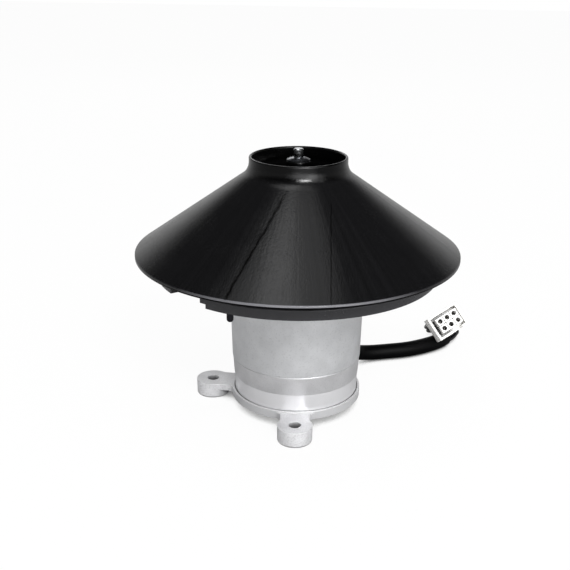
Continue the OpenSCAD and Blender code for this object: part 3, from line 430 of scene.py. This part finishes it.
def wire_routes():
    """One route for each wire: the wires keep their places round the bundle, and spread to the contacts."""
    along, out = plug_axes()
    rear = PLUG_AT - PLUG_LENGTH * out
    middle = [Vector(p) for p in BUNDLE_ROUTE] + [rear - d * out for d in PLUG_RUN_IN]
    last = len(middle) - 1
    aims = [(middle[min(k + 1, last)] - middle[max(k - 1, 0)]).normalized() for k in range(last)] + [out]
    sides = [along]
    for k in range(last - 1, -1, -1):
        side = sides[0] - sides[0].dot(aims[k]) * aims[k]
        sides.insert(0, side.normalized())
    routes = []
    for i in (-1, 0, 1):
        for j in (-1, 1):
            points = []
            for k, centre in enumerate(middle):
                t = max(0.0, (k - last + SPREAD_POINTS) / SPREAD_POINTS)
                step = WIRE_STEP + (CONTACT_PITCH - WIRE_STEP) * t * t * (3 - 2 * t)
                points.append(centre + step * (i * sides[k] + j / 2 * aims[k].cross(sides[k])))
            routes.append(smooth_route(points))
    return routes


def colour_property(name, description, code):
    """A colour that the panel shows, with its default as a hex code."""
    return bpy.props.FloatVectorProperty(
        name=name, description=description, subtype="COLOR", size=4, min=0.0, max=1.0, default=linear(code))


class FanColours(bpy.types.PropertyGroup):
    """Colours of the fan's main pieces."""
    wheel: colour_property("Wheel", "Colour of the wheel's plastic", "#0c0c0d")
    can: colour_property("Can", "Colour of the motor can", "#dadbdd")
    ring: colour_property("Middle ring", "Colour of the ring between can and base", "#e0e0e2")
    base: colour_property("Base", "Colour of the mounting base", "#e8e8ea")
    cable: colour_property("Cable", "Colour of the cable sleeve", "#030304")
    connector: colour_property("Connector", "Colour of the connector", "#f6f5f2")


class FanSizes(bpy.types.PropertyGroup):
    """Sizes of the soft pieces and of the stage."""
    sleeve: bpy.props.FloatProperty(
        name="Sleeve", description="Outer diameter of the cable sleeve", default=8.0 * MM, unit="LENGTH")
    wire: bpy.props.FloatProperty(
        name="Wire", description="Outer diameter of one lead wire", default=1.7 * MM, unit="LENGTH")
    floor: bpy.props.FloatProperty(
        name="Floor", description="Length of a side of the floor", default=6.0, unit="LENGTH")
    lens: bpy.props.FloatProperty(
        name="Lens", description="Focal length of the camera", default=58.21, unit="CAMERA")


class FAN_OT_cable(bpy.types.Operator):
    """Makes the cable sleeve and the lead wires"""
    bl_idname = "fan.cable"
    bl_label = "Cable"

    def execute(self, context):
        colours, sizes = context.scene.fan_colours, context.scene.fan_sizes
        # Soft PVC, extruded: dull black, and a little soft at its edges
        sleeve_finish = moulded(tuple(colours.cable), "soft_pvc", (0.42, 0.55), 0.5, 0.02, 0.1)
        # PVC wire covering, extruded: smoother than the sleeve
        wire_finish = moulded(linear("#17171b"), "wire_pvc", (0.3, 0.4), 0.4, 0.01, 0.4)
        route = smooth_route(SLEEVE_ROUTE)
        sleeve = round_curve("sleeve", route, sizes.sleeve, sleeve_finish)
        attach(sleeve, "motor")
        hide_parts("cable_sleeve")
        for k, way in enumerate(wire_routes()):
            wire = round_curve(f"lead_wire_{k + 1}", way, sizes.wire, wire_finish)
            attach(wire, "motor")
            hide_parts("lead_wires")
        return {"FINISHED"}


class FAN_OT_wheel(bpy.types.Operator):
    """Finishes the wheel and what holds it on the shaft"""
    bl_idname = "fan.wheel"
    bl_label = "Wheel"

    def execute(self, context):
        black = tuple(context.scene.fan_colours.wheel)
        cover = glass_filled_nylon(black, "glass_filled_nylon", SHROUD_R, SHROUD_Z + 0.5, linear("#6e6e72"), 0.04)
        finish(cover, "shroud", "blades")
        # The plate is a second moulding, whose rim is a shade paler than the shroud all round
        plate = glass_filled_nylon(black, "glass_filled_nylon_plate", RIM_R, 0.0, tint(black, 6.5), 1.0)
        finish(plate, "hub_plate")
        # Spring steel, stamped: grey and half bright
        finish(turned_metal(linear("#74767b"), "spring_steel", (0.2, 0.35)), "hub_clip", "shaft_circlip", "wave_washer")
        # Blackened steel: dark, with a dull shine
        finish(turned_metal(linear("#2b2b2f"), "blackened_steel", (0.3, 0.45)), "balance_pin")
        # Brass, turned: yellow and bright
        finish(turned_metal(linear("#c2a860"), "turned_brass", (0.2, 0.35)), "hub_bush")
        return {"FINISHED"}


class FAN_OT_motor(bpy.types.Operator):
    """Finishes the motor's castings and what closes them"""
    bl_idname = "fan.motor"
    bl_label = "Motor"

    def execute(self, context):
        colours = context.scene.fan_colours
        finish(cast_aluminium(tuple(colours.can), "blasted_aluminium", (0.4, 0.52), 0.8, 0.025),
               "motor_can", "bearing_cup")
        finish(cast_aluminium(tuple(colours.ring), "satin_aluminium", (0.34, 0.44), 0.5, 0.015), "middle_ring")
        finish(turned_casting(tuple(colours.base)), "mounting_base")
        # Sheet steel, pressed: grey, with a soft shine
        finish(turned_metal(linear("#a4a6aa"), "pressed_steel", (0.25, 0.4)), "bottom_cap")
        # Zinc plate: bright and slightly blue
        finish(turned_metal(linear("#c3c6c9"), "zinc_plate", (0.25, 0.4)), "clamp_screws")
        # Rubber, moulded: black and matt
        finish(moulded(linear("#161618"), "moulded_rubber", (0.5, 0.65), 0.5, 0.02, 0.3), "shaft_seal", "cable_grommet")
        return {"FINISHED"}


class FAN_OT_shaft(bpy.types.Operator):
    """Finishes the shaft and its bearings"""
    bl_idname = "fan.shaft"
    bl_label = "Shaft and bearings"

    def execute(self, context):
        rings = [f"{place}_bearing_{part}" for place in ("upper", "lower")
                 for part in ("inner_ring", "outer_ring", "balls")]
        # Steel, ground: bright, and nearly a mirror on the balls' tracks
        finish(turned_metal(linear("#d4d6d9"), "ground_steel", (0.12, 0.22)), "shaft")
        finish(turned_metal(linear("#c9cccf"), "bearing_steel", (0.08, 0.16)), *rings)
        # Brass sheet, pressed: yellow and satin
        finish(turned_metal(linear("#b58d4a"), "pressed_brass", (0.25, 0.4)),
               "upper_bearing_cage", "lower_bearing_cage")
        return {"FINISHED"}


class FAN_OT_windings(bpy.types.Operator):
    """Finishes the rotor's and the stator's inner pieces"""
    bl_idname = "fan.windings"
    bl_label = "Windings and magnets"

    def execute(self, context):
        finish(stacked_sheets(linear("#85888c")), "stator_core", "rotor_core")
        # Ferrite, pressed and fired: charcoal, with a dull grain
        finish(moulded(linear("#3a3b40"), "ferrite", (0.5, 0.7), 0.4, 0.03, 0.4), "rotor_magnets", "sensor_magnet")
        # Polyester, moulded: cream and satin
        finish(moulded(linear("#e6e4dc"), "moulded_polyester", (0.4, 0.5), 0.6, 0.015, 0.5),
               "upper_insulator", "lower_insulator")
        finish(enamelled_copper(linear("#b4652f")), "stator_coils")
        return {"FINISHED"}


class FAN_OT_electronics(bpy.types.Operator):
    """Finishes the control board and its parts"""
    bl_idname = "fan.electronics"
    bl_label = "Electronics"

    def execute(self, context):
        finish(printed_board(linear("#2f6b45")), "control_board")
        # Epoxy, moulded: black and matt
        finish(moulded(linear("#222326"), "moulded_epoxy", (0.5, 0.65), 0.3, 0.01, 0.4), "hall_sensors")
        # Shrink sleeve: dark blue and glossy
        finish(moulded(linear("#3b3f55"), "shrink_sleeve", (0.2, 0.3), 0.8, 0.01, 0.5), "board_capacitors")
        return {"FINISHED"}


class FAN_OT_connector(bpy.types.Operator):
    """Finishes the connector and its contacts"""
    bl_idname = "fan.connector"
    bl_label = "Connector"

    def execute(self, context):
        # Natural nylon, moulded: milky white with a satin skin, and grey painted shade in its gaps
        finish(moulded(tuple(context.scene.fan_colours.connector), "natural_nylon", (0.36, 0.5), 0.8, 0.01, 0.45,
                       linear("#58585a")), "connector_housing")
        # Tinned brass, stamped: grey and half bright
        finish(turned_metal(linear("#72706c"), "tinned_brass", (0.2, 0.35)), "connector_contacts")
        return {"FINISHED"}


def area_lamp(name, place, aim, size, power, roll):
    """A soft box."""
    data = bpy.data.lights.new(name, "AREA")
    data.shape = "RECTANGLE"
    data.size, data.size_y = size
    data.energy = power
    made = bpy.data.objects.new(name, data)
    made.location = place
    made.rotation_mode = "QUATERNION"
    facing = (Vector(aim) - Vector(place)).to_track_quat("-Z", "Y")
    made.rotation_quaternion = facing @ Quaternion((0, 0, 1), math.radians(roll))
    bpy.context.scene.collection.objects.link(made)


class FAN_OT_stage(bpy.types.Operator):
    """Makes the floor, the light and the camera"""
    bl_idname = "fan.stage"
    bl_label = "Stage"

    def execute(self, context):
        scene, sizes = context.scene, context.scene.fan_sizes
        scene.view_settings.view_transform = "Standard"
        self.make_camera(scene, sizes)
        self.make_floor(scene, sizes)
        self.make_world(scene)
        for lamp in LAMPS:
            area_lamp(*lamp)
        return {"FINISHED"}

    def make_camera(self, scene, sizes):
        """A camera where the photograph was taken from."""
        ahead = CAMERA_AHEAD.normalized()
        right = (CAMERA_RIGHT - CAMERA_RIGHT.dot(ahead) * ahead).normalized()
        up = right.cross(ahead)
        data = bpy.data.cameras.new("camera")
        data.lens = sizes.lens
        data.sensor_width = SENSOR_WIDTH
        data.clip_start, data.clip_end = 0.01, 50.0
        camera = bpy.data.objects.new("camera", data)
        place = Matrix((right, up, -ahead)).transposed().to_4x4()
        place.translation = CAMERA_AT * MM
        camera.matrix_world = place
        scene.collection.objects.link(camera)
        scene.camera = camera

    def make_floor(self, scene, sizes):
        """A white floor that keeps a faint shadow."""
        half = sizes.floor / 2
        mesh = bpy.data.meshes.new("floor")
        corners = [(-half, -half, 0), (half, -half, 0), (half, half, 0), (-half, half, 0)]
        mesh.from_pydata(corners, [], [(0, 1, 2, 3)])
        floor = bpy.data.objects.new("floor", mesh)
        floor.location.z = -FLOOR_GAP * MM
        scene.collection.objects.link(floor)
        material = bpy.data.materials.new("white_paper")
        material.use_nodes = True
        tree = material.node_tree
        tree.nodes.clear()
        path = add(tree, "LightPath").outputs
        shiny = add(tree, "Math", {0: path["Is Glossy Ray"], 1: path["Is Transmission Ray"]},
                    operation="MAXIMUM").outputs[0]
        seen = add(tree, "Math", {0: shiny, 1: path["Is Camera Ray"]}, operation="MAXIMUM").outputs[0]
        # The eye sees the floor white, and dark where a hole or a foot shuts the light out. Gloss sees the wider shade
        near = add(tree, "AmbientOcclusion", {"Distance": 9 * MM}, samples=8).outputs["AO"]
        shade = add(tree, "AmbientOcclusion", {"Distance": 250 * MM}, samples=8).outputs["AO"]
        wide = add(tree, "MapRange", {"Value": shade, "From Min": 0.2, "To Max": 0.5}).outputs["Result"]
        close = add(tree, "MapRange", {"Value": near, "From Min": 0.12, "From Max": 0.45, "To Min": 0.08})
        level = add(tree, "Mix", {"Factor": path["Is Camera Ray"], 2: wide, 3: close.outputs["Result"]},
                    data_type="FLOAT").outputs[0]
        share = add(tree, "Math", {0: seen, 1: 0.95}, operation="MULTIPLY").outputs[0]
        paper = add(tree, "BsdfDiffuse", {"Color": (0.85, 0.85, 0.85, 1.0)}).outputs[0]
        white = add(tree, "Emission", {"Color": (1.0, 1.0, 1.0, 1.0), "Strength": level}).outputs[0]
        mixed = add(tree, "MixShader", {0: share, 1: paper, 2: white}).outputs[0]
        add(tree, "OutputMaterial", {"Surface": mixed})
        mesh.materials.append(material)

    def make_world(self, scene):
        """A white surround. Gloss sees it white at the horizon, and a dim ceiling above."""
        world = bpy.data.worlds.new("studio")
        world.use_nodes = True
        tree = world.node_tree
        tree.nodes.clear()
        path = add(tree, "LightPath").outputs
        up = add(tree, "SeparateXYZ", {0: add(tree, "TexCoord").outputs["Generated"]}).outputs["Z"]
        wall = add(tree, "MapRange",
                   {"Value": up, "From Min": 0.16, "From Max": 0.5, "To Min": HORIZON, "To Max": CEILING},
                   interpolation_type="SMOOTHSTEP").outputs["Result"]
        shiny = add(tree, "Math", {0: path["Is Glossy Ray"], 1: path["Is Transmission Ray"]},
                    operation="MAXIMUM").outputs[0]
        level = add(tree, "Mix", {"Factor": shiny, 2: FILL, 3: wall}, data_type="FLOAT").outputs[0]
        level = add(tree, "Mix", {"Factor": path["Is Camera Ray"], 2: level, 3: 1.0}, data_type="FLOAT").outputs[0]
        glow = add(tree, "Background", {"Color": (1.0, 1.0, 1.0, 1.0), "Strength": level}).outputs[0]
        add(tree, "OutputWorld", {"Surface": glow})
        scene.world = world


class FAN_PT_panel(bpy.types.Panel):
    """Lists the fan's colours, sizes and steps"""
    bl_idname = "FAN_PT_panel"
    bl_label = "Boiler fan motor"
    bl_space_type = "VIEW_3D"
    bl_region_type = "UI"
    bl_category = "Fan"

    def draw(self, context):
        for group in (context.scene.fan_colours, context.scene.fan_sizes):
            for name in group.__annotations__:
                self.layout.prop(group, name)
        for step in STEPS:
            self.layout.operator(step.bl_idname)


STEPS = (FAN_OT_stage, FAN_OT_cable, FAN_OT_wheel, FAN_OT_motor, FAN_OT_shaft, FAN_OT_windings,
         FAN_OT_electronics, FAN_OT_connector)
CLASSES = (FanColours, FanSizes) + STEPS + (FAN_PT_panel,)


def register():
    for one in CLASSES:
        bpy.utils.register_class(one)
    bpy.types.Scene.fan_colours = bpy.props.PointerProperty(type=FanColours)
    bpy.types.Scene.fan_sizes = bpy.props.PointerProperty(type=FanSizes)


def unregister():
    del bpy.types.Scene.fan_sizes
    del bpy.types.Scene.fan_colours
    for one in reversed(CLASSES):
        bpy.utils.unregister_class(one)


def main():
    register()
    bpy.ops.fan.stage()
    bpy.ops.fan.cable()
    bpy.ops.fan.wheel()
    bpy.ops.fan.motor()
    bpy.ops.fan.shaft()
    bpy.ops.fan.windings()
    bpy.ops.fan.electronics()
    bpy.ops.fan.connector()


if __name__ == "__main__":
    main()
